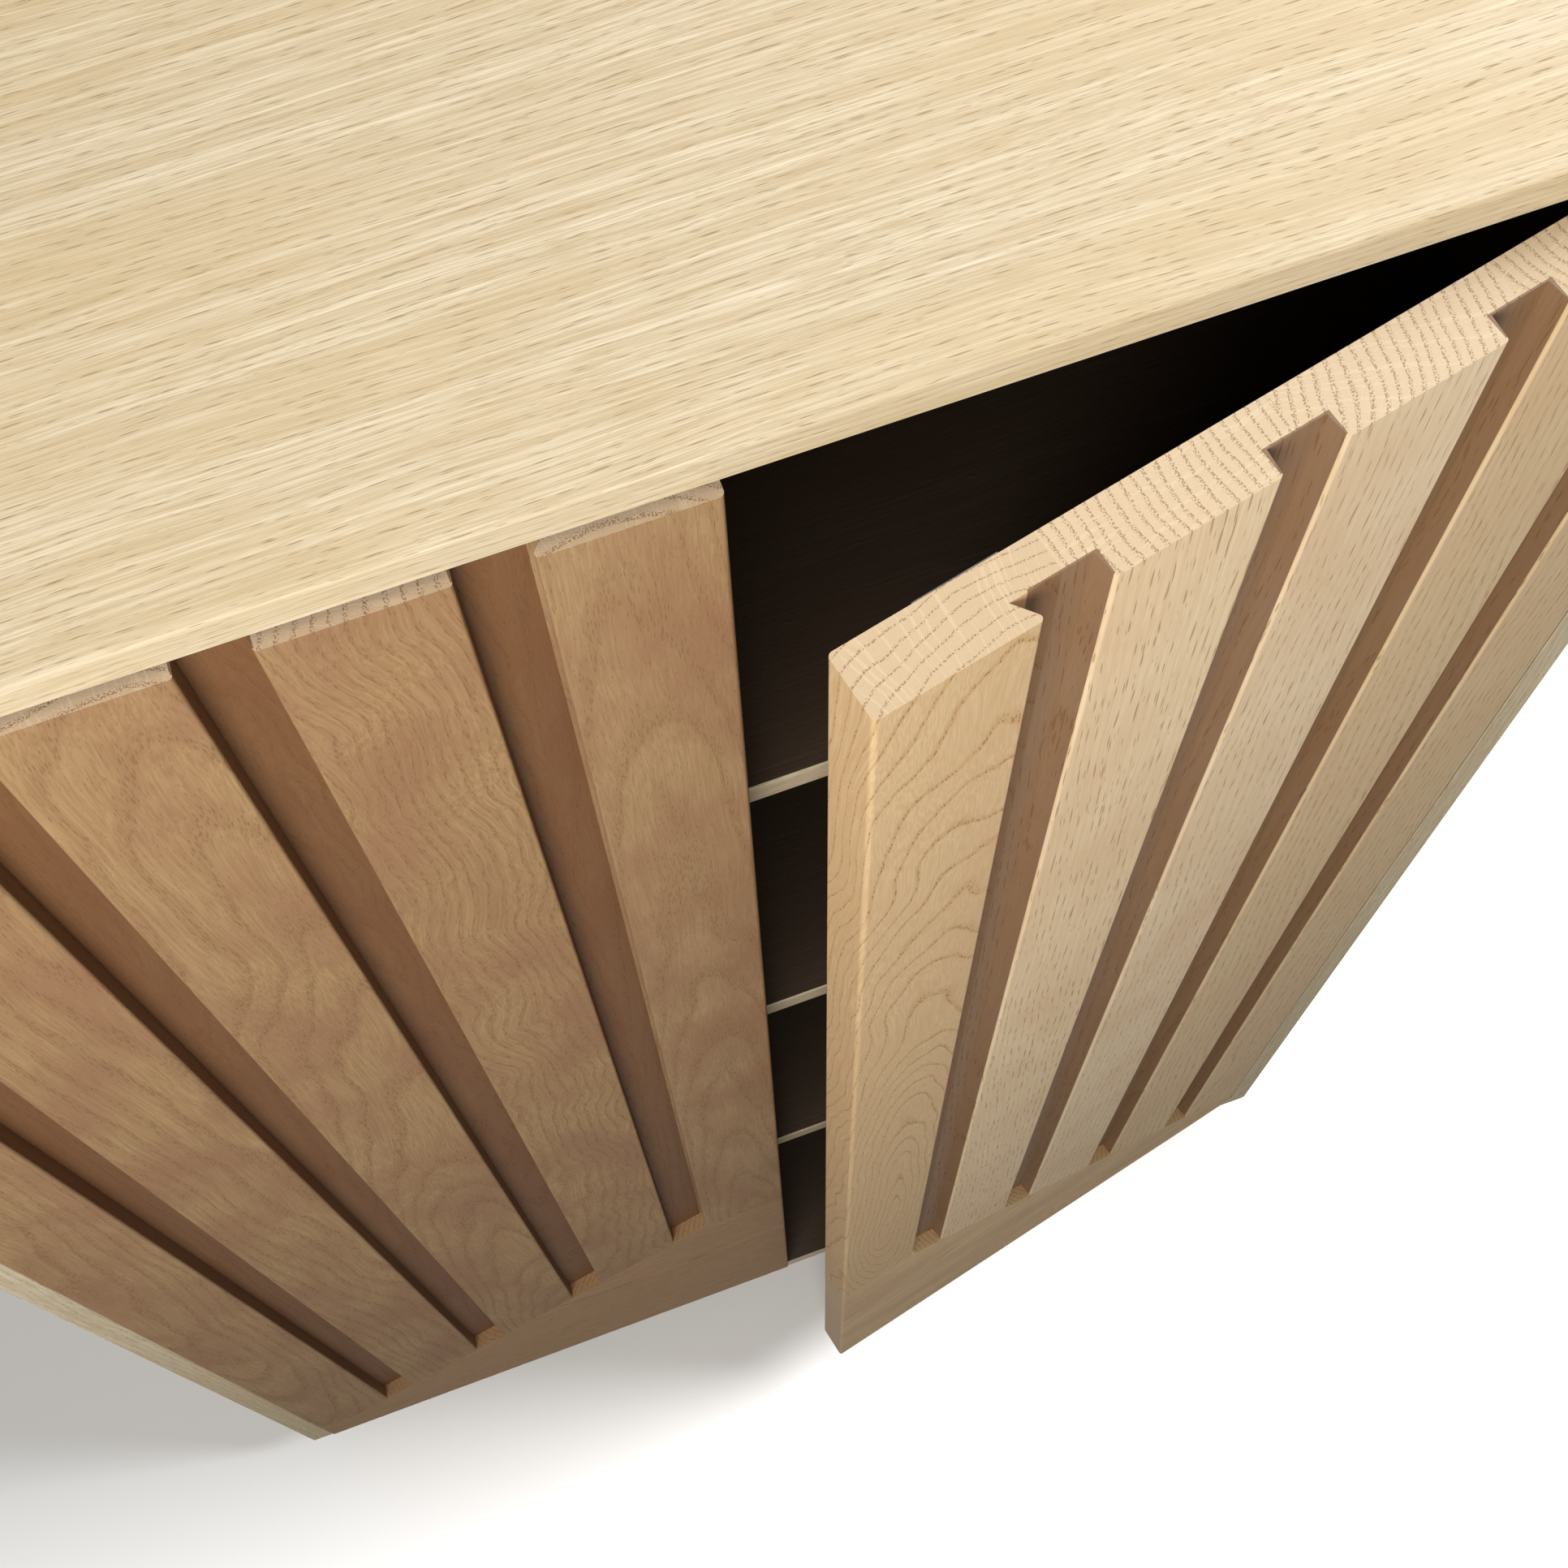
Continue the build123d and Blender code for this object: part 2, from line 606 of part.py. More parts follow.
def carcass_pieces():
    """All pieces that stand still, by name."""
    pieces = {"top_panel": top_panel(), "bottom_panel": bottom_panel(), "back_panel": back_panel()}
    for name, top in zip(("lower", "middle", "upper"), shelf_tops):
        pieces[f"{name}_shelf"] = shelf(top)
    pieces["shelf_pins"] = group([shelf_pin(side, y, top) for side in (-1, 1) for y in pin_rows
                                  for top in shelf_tops])
    pieces["panel_dowels"] = group([rod(start, direction, dowel_radius, dowel_in_edge + dowel_in_face)
                                    for start, direction in dowel_seats()])
    pieces["cam_discs"] = group([cam_disc(*seat) for seat in cam_seats()])
    pieces["cam_bolts"] = group([cam_bolt(*seat) for seat in cam_seats()])
    pieces["back_panel_screws"] = group([screw(head, FORWARD, back_screw) for head in back_screw_heads()])

    x = outer_half - plinth_side_recess
    front, back = carcass_front + plinth_front_recess, carcass_back - plinth_back_recess
    pieces["plinth_front"] = plinth_bar(-x, x, front, front + plinth_thickness)
    pieces["plinth_back"] = plinth_bar(-x, x, back - plinth_thickness, back)
    for side in (-1, 1):
        pieces[f"plinth_{side_name(side)}"] = plinth_bar(
            side * x, side * (x - plinth_thickness), front + plinth_thickness, back - plinth_thickness)
    pieces["plinth_corner_blocks"] = group([corner_block(*corner) for corner in block_corners()])
    pieces["plinth_block_screws"] = group([screw(Vector(x, y, base_underside - block_height), UP, block_screw)
                                           for x, y in block_corners()])
    pieces["glides"] = group([glide(*place) for place in glide_places])

    faces = {"upper": (top_underside, UP), "lower": (floor_surface, DOWN)}
    plate_screws = []
    for side in (-1, 1):
        pieces[f"{side_name(side)}_side_panel"] = side_panel(side)
        pieces[f"{side_name(side)}_catch_case"] = catch_case(side)
        for level, (face, inward) in faces.items():
            pieces[f"{side_name(side)}_{level}_hinge_plate"] = fixed_plate(side, face, inward)
            plate_screws += [screw(head, inward, hinge_screw) for head in hinge_screw_heads(side, face)]
    pieces["hinge_plate_screws"] = group(plate_screws)
    pieces["pivot_washers"] = group([pivot_washer(side) for side in (-1, 1)])
    pieces["catch_magnets"] = group([magnet_block(side) for side in (-1, 1)])
    pieces["catch_screws"] = group([screw(head, UP, catch_screw) for side in (-1, 1)
                                    for head in catch_screw_heads(side)])
    return pieces


# ---------------------------------------------------------------- write every node
os.makedirs("parts", exist_ok=True)
right_pivot = Axis((pivot_x, pivot_y, 0), (0, 0, 1))
nodes = dict(carcass_pieces())
for piece_name, closed in door_pieces().items():
    nodes[f"left_{piece_name}"] = mirror(closed, Plane.YZ)
    nodes[f"right_{piece_name}"] = closed.rotate(right_pivot, ajar_angle)
for node_name, shape in nodes.items():
    export_step(shape.moved(to_row), f"parts/{node_name}.step")
print(f"{len(nodes)} nodes, {2 * outer_half:.1f} wide, {carcass_back - front_most:.1f} deep over the open door")
print(f"{top_surface - ground:.1f} high, right pivot at {pivot_x:.1f}, {to_row.position.Y + pivot_y:.2f}")
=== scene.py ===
# %% [markdown]
# # A tall oak media cabinet with slatted doors
#
# This lesson dresses a cabinet whose boards, hinges and joints are already drawn to size. The frame that is loaded
# first holds every part in its place, in metres, with +Z up and the doors facing -Y. The right door stands ajar.
# The lesson adds the camera, the light, the wood and the metal, and it makes the screws and the dowels again in
# finer detail.

# %% Load the frame
import json
import math
import bpy
import bmesh
from mathutils import Euler, Matrix, Vector


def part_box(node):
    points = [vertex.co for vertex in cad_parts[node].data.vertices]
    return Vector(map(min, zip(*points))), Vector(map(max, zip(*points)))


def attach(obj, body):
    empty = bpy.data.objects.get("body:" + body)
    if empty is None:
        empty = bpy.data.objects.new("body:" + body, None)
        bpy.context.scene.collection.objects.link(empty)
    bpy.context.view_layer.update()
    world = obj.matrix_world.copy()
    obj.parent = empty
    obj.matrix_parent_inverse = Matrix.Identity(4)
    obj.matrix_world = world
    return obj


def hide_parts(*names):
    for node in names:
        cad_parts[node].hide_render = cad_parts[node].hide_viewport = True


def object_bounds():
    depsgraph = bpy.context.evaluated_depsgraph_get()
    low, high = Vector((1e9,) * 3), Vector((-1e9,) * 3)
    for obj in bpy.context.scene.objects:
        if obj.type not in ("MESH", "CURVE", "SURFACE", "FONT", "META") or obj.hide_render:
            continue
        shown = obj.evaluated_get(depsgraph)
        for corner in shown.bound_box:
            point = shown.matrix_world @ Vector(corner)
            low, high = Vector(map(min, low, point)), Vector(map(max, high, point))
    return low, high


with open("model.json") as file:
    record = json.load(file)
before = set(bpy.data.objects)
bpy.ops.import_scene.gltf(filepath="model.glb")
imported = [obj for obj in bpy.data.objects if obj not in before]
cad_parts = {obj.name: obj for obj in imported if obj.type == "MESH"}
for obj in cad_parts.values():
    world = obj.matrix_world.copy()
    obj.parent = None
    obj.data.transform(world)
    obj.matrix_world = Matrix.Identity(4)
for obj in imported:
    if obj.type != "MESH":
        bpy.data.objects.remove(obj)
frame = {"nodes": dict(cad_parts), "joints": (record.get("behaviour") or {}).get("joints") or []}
cad_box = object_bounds()
MM = 0.001
print("parts in the frame:", len(frame["nodes"]))
print("size in mm:", [round((high - low) / MM) for low, high in zip(*cad_box)])

# %% [markdown]
# ## The camera
#
# The cabinet is looked down on from above the right of its left door, quite close, so that the doors run away towards
# the floor. A camera's place and its three turns are all that is needed. The lens is a little longer than normal, and
# nothing is shifted, so other views can reuse it.

# %% Place the camera
CAMERA_PLACE = Vector((-0.0888, -0.4770, 2.0609))
CAMERA_TURN_DEGREES = (20.809, 0.879, -20.014)
LENS_MM = 54.46
camera = bpy.data.objects.new("camera", bpy.data.cameras.new("camera"))
camera.data.lens = LENS_MM
camera.data.sensor_width = 36.0
camera.data.clip_start, camera.data.clip_end = 0.02, 50.0
camera.location = CAMERA_PLACE
camera.rotation_euler = [math.radians(turn) for turn in CAMERA_TURN_DEGREES]
bpy.context.scene.collection.objects.link(camera)
bpy.context.scene.camera = camera
print("camera", round(CAMERA_PLACE.z - cad_box[1].z, 3), "m above the top panel")

# %% [markdown]
# ## Light and floor
#
# A studio for furniture is a white room with large soft lamps. The room is the world's even light, which keeps
# the shadows open. A broad lamp behind the right shoulder of the cabinet works as a window: the top panel is the
# brightest face, and the right arrises of the slats catch a thin line of light. A warmer softbox stands in front,
# on the left, a little above the cabinet. Its light slants across the slats and fades towards the floor, and the
# grooves fall into shade. A third lamp, a soft sun, lights only the paper floor, which would turn grey so far
# from the others. Light linking does that: the sun's receivers are a collection that holds only the floor. It
# comes from the right, so the cabinet's shadow lies on its left. The white floor would also throw light back up
# and lay a grey sheen on the doors, so it is hidden from diffuse and glossy rays. The picture uses the Standard
# view, so that a colour given as a hex value is the colour that a white light would show.

# %% Colours from hex values
def linear(hex_colour):
    """An sRGB hex colour as linear red, green, blue and alpha."""
    channels = [int(hex_colour[start:start + 2], 16) / 255 for start in (1, 3, 5)]
    return [c / 12.92 if c <= 0.04045 else ((c + 0.055) / 1.055) ** 2.4 for c in channels] + [1.0]


# %% One function for every node
def add(tree, kind, inputs=None, out=0, **settings):
    """Adds a node and gives back one of its outputs. inputs gives each socket a value, or the output that
    feeds it."""
    made = tree.nodes.new(kind)
    for name, value in settings.items():
        setattr(made, name, value)
    for key, value in (inputs or {}).items():
        if isinstance(value, bpy.types.NodeSocket):
            tree.links.new(value, made.inputs[key])
        else:
            made.inputs[key].default_value = value
    return made.outputs[out] if made.outputs else None


def new_material(name):
    """A material with no nodes in it yet, and its tree."""
    material = bpy.data.materials.new(name)
    material.use_nodes = True
    material.node_tree.nodes.clear()
    return material, material.node_tree


# %% The world
ROOM_STRENGTH = 0.24
BACKDROP_STRENGTH = 0.85
scene = bpy.context.scene
scene.view_settings.view_transform = "Standard"
scene.view_settings.look = "None"
world = bpy.data.worlds.new("white_room")
world.use_nodes = True
tree = world.node_tree
tree.nodes.clear()
# What lights the cabinet is dimmer than the pale backdrop that shows behind it.
seen = add(tree, "ShaderNodeLightPath", out="Is Camera Ray")
room = add(tree, "ShaderNodeBackground", {"Color": linear("#FFFCF6"), "Strength": ROOM_STRENGTH})
backdrop = add(tree, "ShaderNodeBackground", {"Color": linear("#FCFCFC"), "Strength": BACKDROP_STRENGTH})
both = add(tree, "ShaderNodeMixShader", {0: seen, 1: room, 2: backdrop})
add(tree, "ShaderNodeOutputWorld", {"Surface": both})
scene.world = world
print("room strength", ROOM_STRENGTH)


# %% The window and the softbox
WINDOW_WATTS = 40.0
SOFTBOX_WATTS = 22.5


def lamp(name, place, aim, size, watts, colour):
    """A soft square lamp that points at a place."""
    light = bpy.data.lights.new(name, "AREA")
    light.shape, light.size, light.energy = "SQUARE", size, watts
    light.color = linear(colour)[:3]
    holder = bpy.data.objects.new(name, light)
    holder.location = place
    holder.rotation_euler = (aim - place).to_track_quat("-Z", "Y").to_euler()
    holder.visible_camera = False
    scene.collection.objects.link(holder)


lamp("window", Vector((1.35, 0.75, 2.45)), Vector((0.1, 0.0, cad_box[1].z)), 1.2, WINDOW_WATTS, "#FFFBF4")
lamp("softbox", Vector((-0.55, -1.15, 1.95)), Vector((0.0, -0.2, 1.3)), 0.9, SOFTBOX_WATTS, "#FFFDFA")
print("window and softbox:", WINDOW_WATTS, "and", SOFTBOX_WATTS, "W")

# %% The floor and its sun
REACH = 6.0
SUN_STRENGTH = 3.0
SUN_SOFTNESS_DEGREES = 24.0
floor_mesh = bpy.data.meshes.new("studio_floor")
floor_mesh.from_pydata([(-REACH, -REACH, 0), (REACH, -REACH, 0), (REACH, REACH, 0), (-REACH, REACH, 0)],
                       [], [(0, 1, 2, 3)])
floor = bpy.data.objects.new("studio_floor", floor_mesh)
scene.collection.objects.link(floor)
paper, tree = new_material("matt_white_paper")
surface = add(tree, "ShaderNodeBsdfPrincipled", {"Base Color": linear("#F6F6F6"), "Roughness": 0.9})
add(tree, "ShaderNodeOutputMaterial", {"Surface": surface})
floor_mesh.materials.append(paper)
floor.visible_diffuse = False
floor.visible_glossy = False

sun = bpy.data.lights.new("floor_sun", "SUN")
sun.energy, sun.angle = SUN_STRENGTH, math.radians(SUN_SOFTNESS_DEGREES)
sun_holder = bpy.data.objects.new("floor_sun", sun)
sun_holder.rotation_euler = Vector((-2.9, 0.35, -2.7)).to_track_quat("-Z", "Y").to_euler()
scene.collection.objects.link(sun_holder)
sunlit = bpy.data.collections.new("lit_by_the_floor_sun")
sunlit.objects.link(floor)
sun_holder.light_linking.receiver_collection = sunlit
print("floor", 2 * REACH, "m across")

# %% [markdown]
# ## Oak, drawn as a solid
#
# A board is cut from a log, so its figure is a slice through the log's yearly rings. The same texture then
# gives straight lines on one face, arches on another and arcs on the end, and they meet at the edges as they do
# in real wood. It could be made from a flat picture for each face, but then the faces would not agree. So the
# material works in millimetres from a point on the board's face. It turns the board's long way to Z, leans and
# waves the heart of the log, and measures the distance from it.

# %% Soft patterns, in millimetres
def soft_pattern(tree, place, sizes, detail, low, high, shift=(0, 0, 0)):
    """Soft patches of a size in mm along X, Y and Z. They rise from 0 to 1 between low and high."""
    scaled = add(tree, "ShaderNodeMapping", {
        "Vector": place, "Location": shift, "Scale": tuple(1 / size for size in sizes)})
    patches = add(tree, "ShaderNodeTexNoise", {"Vector": scaled, "Scale": 1.0, "Detail": detail}, out="Fac")
    return add(tree, "ShaderNodeMapRange", {"Value": patches, "From Min": low, "From Max": high})


def swayed(tree, section, place, sizes, reach, shift):
    """The place across the log, moved by a slow wave of up to half of reach."""
    scaled = add(tree, "ShaderNodeMapping", {
        "Vector": place, "Location": shift, "Scale": tuple(1 / size for size in sizes)})
    wave = add(tree, "ShaderNodeTexNoise", {"Vector": scaled, "Scale": 1.0, "Detail": 2.0}, out="Color")
    wave = add(tree, "ShaderNodeVectorMath", {0: wave, 1: (0.5, 0.5, 0.5)}, operation="SUBTRACT")
    wave = add(tree, "ShaderNodeVectorMath", {0: wave, 1: (reach, reach, 0)}, operation="MULTIPLY")
    return add(tree, "ShaderNodeVectorMath", {0: section, 1: wave}, operation="ADD")


# %% Where a board lies in its log
def board_place(tree, place, origin, turn):
    """Millimetres from the board's origin, turned so that Z runs along the grain."""
    local = add(tree, "ShaderNodeVectorMath", {0: place, 1: origin}, operation="SUBTRACT")
    return add(tree, "ShaderNodeMapping", {"Vector": local, "Rotation": turn, "Scale": (1000, 1000, 1000)})


def log_section(tree, turned, heart, lean, wave, wave_length, seed):
    """The same place seen from the heart of the log, which leans along the board and waves."""
    along = add(tree, "ShaderNodeSeparateXYZ", {0: turned}, out="Z")
    slant = add(tree, "ShaderNodeCombineXYZ", {
        "X": add(tree, "ShaderNodeMath", {0: along, 1: lean[0]}, operation="MULTIPLY"),
        "Y": add(tree, "ShaderNodeMath", {0: along, 1: lean[1]}, operation="MULTIPLY")})
    section = add(tree, "ShaderNodeVectorMath", {0: turned, 1: (-heart[0], -heart[1], 0)}, operation="ADD")
    section = add(tree, "ShaderNodeVectorMath", {0: section, 1: slant}, operation="ADD")
    section = swayed(tree, section, turned, (70, 70, wave_length), wave * 2, (seed * 7.3, seed * 3.1, seed))
    return swayed(tree, section, turned, (9, 9, 50), 1.5, (seed, 0, 0))


# %% [markdown]
# ## Rings, pores and rays
#
# One yearly ring is a band of open pores, which is darker, and then dense wood. The pores are tubes along the
# grain. A Voronoi pattern stretched along Z gives one spindle in each cell, thick in the porous band and thin in
# the dense wood, so a face shows dashes. On a sawn end the tubes are cut across, and a flat Voronoi pattern
# gives rows of dots. Rays are pale lines that run straight out from the heart. Real pores are about 0.3 mm
# across. They are drawn 0.5 to 0.9 mm across here, or they would not show.

# %% The yearly rings
def porous_band(tree, radius, ring, band):
    """1 where a ring is most porous, and near 0 in its dense wood. band gives where it peaks, eases and ends."""
    years = add(tree, "ShaderNodeMath", {0: radius, 1: ring}, operation="DIVIDE")
    season = add(tree, "ShaderNodeMath", {0: years}, operation="FRACT")
    porous = add(tree, "ShaderNodeValToRGB", {"Fac": season})
    stops = porous.node.color_ramp.elements
    stops[0].position, stops[0].color = 0.0, (0.20, 0.20, 0.20, 1)
    stops[1].position, stops[1].color = 1.0, (0.10, 0.10, 0.10, 1)
    for position, level in zip(band, (1.0, 0.70, 0.12)):
        stop = stops.new(position)
        stop.color = (level, level, level, 1)
    return porous


# %% Pores on the faces and on the sawn ends
END_PORE_MM = 0.75


def pore_marks(tree, section, porous, cell, reach, base, flat_cells):
    """One mark in each cell of a size in mm, wider where the wood is porous."""
    scaled = add(tree, "ShaderNodeMapping", {"Vector": section, "Scale": tuple(1 / size for size in cell)})
    cells = add(tree, "ShaderNodeTexVoronoi", {"Vector": scaled, "Scale": 1.0}, out="Distance",
                voronoi_dimensions="2D" if flat_cells else "3D")
    width = add(tree, "ShaderNodeMath", {0: porous, 1: reach, 2: base}, operation="MULTIPLY_ADD")
    marks = add(tree, "ShaderNodeMath", {0: width, 1: cells}, operation="SUBTRACT")
    return add(tree, "ShaderNodeMapRange", {"Value": marks, "From Min": 0.0, "From Max": 0.12})


# %% Rays, and where the wood is sawn across
def ray_lines(tree, flat, radius, along):
    """Thin lines that run straight out from the heart of the log."""
    angle = add(tree, "ShaderNodeMath", {
        0: add(tree, "ShaderNodeSeparateXYZ", {0: flat}, out="Y"),
        1: add(tree, "ShaderNodeSeparateXYZ", {0: flat}, out="X")}, operation="ARCTAN2")
    spoke = add(tree, "ShaderNodeCombineXYZ", {
        "X": add(tree, "ShaderNodeMath", {0: angle, 1: 90.0}, operation="MULTIPLY"),
        "Y": add(tree, "ShaderNodeMath", {0: radius, 1: 1 / 30}, operation="MULTIPLY"),
        "Z": add(tree, "ShaderNodeMath", {0: along, 1: 1 / 18}, operation="MULTIPLY")})
    rays = add(tree, "ShaderNodeTexNoise", {"Vector": spoke, "Scale": 1.0, "Detail": 0.0}, out="Fac")
    return add(tree, "ShaderNodeMapRange", {"Value": rays, "From Min": 0.58, "From Max": 0.70})


def sawn_across(tree, turn):
    """1 on a board's sawn end, where the grain meets the face squarely, and 0 on its long faces."""
    normal = add(tree, "ShaderNodeNewGeometry", out="Normal")
    facing = add(tree, "ShaderNodeMapping", {"Vector": normal, "Rotation": turn})
    facing = add(tree, "ShaderNodeSeparateXYZ", {0: facing}, out="Z")
    facing = add(tree, "ShaderNodeMath", {0: facing}, operation="ABSOLUTE")
    return add(tree, "ShaderNodeMapRange", {"Value": facing, "From Min": 0.75, "From Max": 0.9})


# %% [markdown]
# ## Painted shade in the grooves and inside the case
#
# The grooves' floors and walls are painted darker and warmer than the slats, as painted shade for the recess that
# light hardly reaches. The inside of the case, between its panels and behind its front edges, is painted nearly
# black, also as painted shade. Both are boxes in space: a mask multiplies one comparison for each side of the box.
# The sizes come from the frame's own panels, so they are measured first.

# %% Measure the case
INSIDE_HALF_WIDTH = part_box("right_side_panel")[0].x
INSIDE_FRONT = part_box("right_side_panel")[0].y + 0.5 * MM
INSIDE_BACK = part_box("back_panel")[1].y - 0.5 * MM
INSIDE_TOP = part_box("top_panel")[0].z + 0.5 * MM
INSIDE_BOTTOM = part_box("bottom_panel")[1].z - 0.5 * MM
GROOVE_DEPTH_MM = 10.0
print("inside width in mm:", round(2 * INSIDE_HALF_WIDTH / MM))


# %% Masks for the painted shade of the grooves and the inside
def within(tree, tests):
    """1 where every test holds. A test is an output, a comparison and a number."""
    mask = None
    for value, comparison, limit in tests:
        held = add(tree, "ShaderNodeMath", {0: value, 1: limit}, operation=comparison)
        mask = held if mask is None else add(tree, "ShaderNodeMath", {0: mask, 1: held}, operation="MULTIPLY")
    return mask


def painted_groove_shade_mask(tree, turned, groove):
    """Where the grooves' painted shade goes. groove is 0 for a groove on both sides of the slat, or the side of
    the only one, and where it starts.
    """
    side, start = groove
    across = add(tree, "ShaderNodeSeparateXYZ", {0: turned}, out="X")
    depth = add(tree, "ShaderNodeSeparateXYZ", {0: turned}, out="Y")
    if side == 0:
        across = add(tree, "ShaderNodeMath", {0: across}, operation="ABSOLUTE")
    else:
        across = add(tree, "ShaderNodeMath", {0: across, 1: side}, operation="MULTIPLY")
    return within(tree, [(across, "GREATER_THAN", start), (depth, "GREATER_THAN", 1.3),
                         (depth, "LESS_THAN", GROOVE_DEPTH_MM + 0.7)])


def painted_inside_shade_mask(tree, place, painted_shade_from):
    """The inside of the case, from a plane near its front to its back, where its painted shade goes."""
    across = add(tree, "ShaderNodeSeparateXYZ", {0: place}, out="X")
    across = add(tree, "ShaderNodeMath", {0: across}, operation="ABSOLUTE")
    deep = add(tree, "ShaderNodeSeparateXYZ", {0: place}, out="Y")
    high = add(tree, "ShaderNodeSeparateXYZ", {0: place}, out="Z")
    return within(tree, [(across, "LESS_THAN", INSIDE_HALF_WIDTH + 0.5 * MM), (deep, "GREATER_THAN", painted_shade_from),
                         (deep, "LESS_THAN", INSIDE_BACK), (high, "LESS_THAN", INSIDE_TOP),
                         (high, "GREATER_THAN", INSIDE_BOTTOM)])


# %% [markdown]
# ## Oiled oak
#
# The finish is a hard-wax oil on planed oak. It is dull and a little uneven, with a roughness near 0.5 and an IOR
# of about 1.45, and the open pores stay rougher than the wood round them. The colour is laid up like thin coats:
# dense wood, porous bands, fibres, long streaks, a blush of another tone, and then the pores. The pores and the
# fibres also drive a bump of 0.2 mm, so that they catch slanting light.

# %% The oak material
def over(tree, below, above, cover, strength):
    """One coat of colour over another, where cover is 1, with a strength."""
    amount = add(tree, "ShaderNodeMath", {0: cover, 1: strength}, operation="MULTIPLY")
    return add(tree, "ShaderNodeMix", {0: amount, 6: below, 7: above}, out=2, data_type="RGBA")


def oak(name, origin, turn, heart, ring=3.6, lean=(0.012, 0.02), wave=9.0, wave_length=260.0,
        tones=("#C9A67C", "#B48E63", "#7A5638"), ring_strength=0.5, fibre_strength=0.35, pore_strength=0.6,
        pore=(0.9, 13.0), pore_reach=0.34, pore_base=0.10, blush="#B48A6C", blush_strength=0.35,
        blush_size=(45, 110), fibre=(0.9, 60), streak_strength=0.0, band=(0.10, 0.28, 0.50),
        end_colour="#D6BFA2", painted_shade_from=None, groove=None, seed=0.0):
    """Oiled oak. origin is a point of the board in metres, turn brings its long way to Z, heart is the log's
    centre from there in mm. tones are the dense wood, the porous wood and the pores. pore and fibre are the
    size of one, across and along the grain, in mm."""
    material, tree = new_material(name)
    place = add(tree, "ShaderNodeTexCoord", out="Object")
    turned = board_place(tree, place, origin, turn)
    section = log_section(tree, turned, heart, lean, wave, wave_length, seed)
    along = add(tree, "ShaderNodeSeparateXYZ", {0: turned}, out="Z")
    flat = add(tree, "ShaderNodeVectorMath", {0: section, 1: (1, 1, 0)}, operation="MULTIPLY")
    radius = add(tree, "ShaderNodeVectorMath", {0: flat}, out="Value", operation="LENGTH")
    porous = porous_band(tree, radius, ring, band)
    dashes = pore_marks(tree, section, porous, (pore[0], pore[0], pore[1]), pore_reach, pore_base, False)
    dots = pore_marks(tree, section, porous, (END_PORE_MM,) * 3, 0.46, 0.06, True)
    fibres = soft_pattern(tree, section, (fibre[0], fibre[0], fibre[1]), 4.0, 0.34, 0.66)
    clouds = soft_pattern(tree, turned, (blush_size[0], blush_size[0], blush_size[1]), 3.0, 0.40, 0.64,
                          (0, seed, seed * 5))
    streaks = soft_pattern(tree, section, (6, 6, 700), 3.0, 0.38, 0.62, (seed * 2, 0, 0))
    end = sawn_across(tree, turn)
    long_face = add(tree, "ShaderNodeMath", {0: 1.0, 1: end}, operation="SUBTRACT")
    end_rays = add(tree, "ShaderNodeMath", {0: ray_lines(tree, flat, radius, along), 1: end}, operation="MULTIPLY")
    end_dots = add(tree, "ShaderNodeMath", {0: dots, 1: end}, operation="MULTIPLY")
    face_dashes = add(tree, "ShaderNodeMath", {0: dashes, 1: long_face}, operation="MULTIPLY")

    coats = [(tones[1], porous, ring_strength), (tones[1], fibres, fibre_strength),
             (tones[1], streaks, streak_strength), (blush, clouds, blush_strength), (end_colour, end, 0.75),
             ("#E6D3B6", end_rays, 0.30), ("#84603F", end_dots, 0.66), (tones[2], face_dashes, pore_strength)]
    # Painted shade: the grooves' floors and walls are darkened to a warm brown.
    if groove is not None:
        coats.append(("#6A401E", painted_groove_shade_mask(tree, turned, groove), 0.78))
    # Painted shade: the inside of the case, behind its front edges, is darkened nearly black.
    if painted_shade_from is not None:
        coats.append(("#2C160C", painted_inside_shade_mask(tree, place, painted_shade_from), 0.93))
    colour = linear(tones[0])
    for tone, cover, strength in coats:
        colour = over(tree, colour, linear(tone), cover, strength)

    sunk = add(tree, "ShaderNodeMath", {0: dashes, 1: -1.0}, operation="MULTIPLY")
    height = add(tree, "ShaderNodeMath", {0: fibres, 1: 0.25, 2: sunk}, operation="MULTIPLY_ADD")
    bump = add(tree, "ShaderNodeBump", {"Height": height, "Strength": 0.4, "Distance": 0.2 * MM})
    rough = add(tree, "ShaderNodeMapRange", {"Value": dashes, "To Min": 0.50, "To Max": 0.75})
    surface = add(tree, "ShaderNodeBsdfPrincipled", {
        "Base Color": colour, "Roughness": rough, "IOR": 1.45, "Normal": bump})
    add(tree, "ShaderNodeOutputMaterial", {"Surface": surface})
    return material


# %% The middle of a board's front
def face_centre(node):
    """The middle of a part's front, in metres."""
    low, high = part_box(node)
    return Vector(((low.x + high.x) / 2, low.y, (low.z + high.z) / 2))


def board_origin(node, turn):
    """The middle of a turned board's front face, in metres."""
    spin = Matrix.Rotation(turn, 3, "Z")
    points = [spin @ vertex.co for vertex in frame["nodes"][node].data.vertices]
    middles = [(min(p[axis] for p in points) + max(p[axis] for p in points)) / 2 for axis in range(3)]
    return spin.inverted() @ Vector((middles[0], min(p.y for p in points), middles[2]))


print("front of the top panel:", [round(value, 3) for value in face_centre("top_panel")])

# %% [markdown]
# ## Each board gets its own figure
#
# The slats of a door are cut from different logs, so no two match. Nearest the middle on the right door, the rings
# come up in tall arches. The slat next to it shows short, bold pores, and the left door's slats are darker, pinker
# and calmer. The panels of the case are rift-sawn boards, with straight, fine lines that run the long way of the top.
# Every difference is a number of the same material: where the heart of the log lies, how wide its rings are, how far
# it leans, and three tones.

# %% Lay the doors' oak
AJAR = -math.radians(frame["joints"][1]["range_deg"][0])


def dress(node, material):
    """Gives a part of the frame its material."""
    slots = frame["nodes"][node].data.materials
    slots.clear()
    slots.append(material)


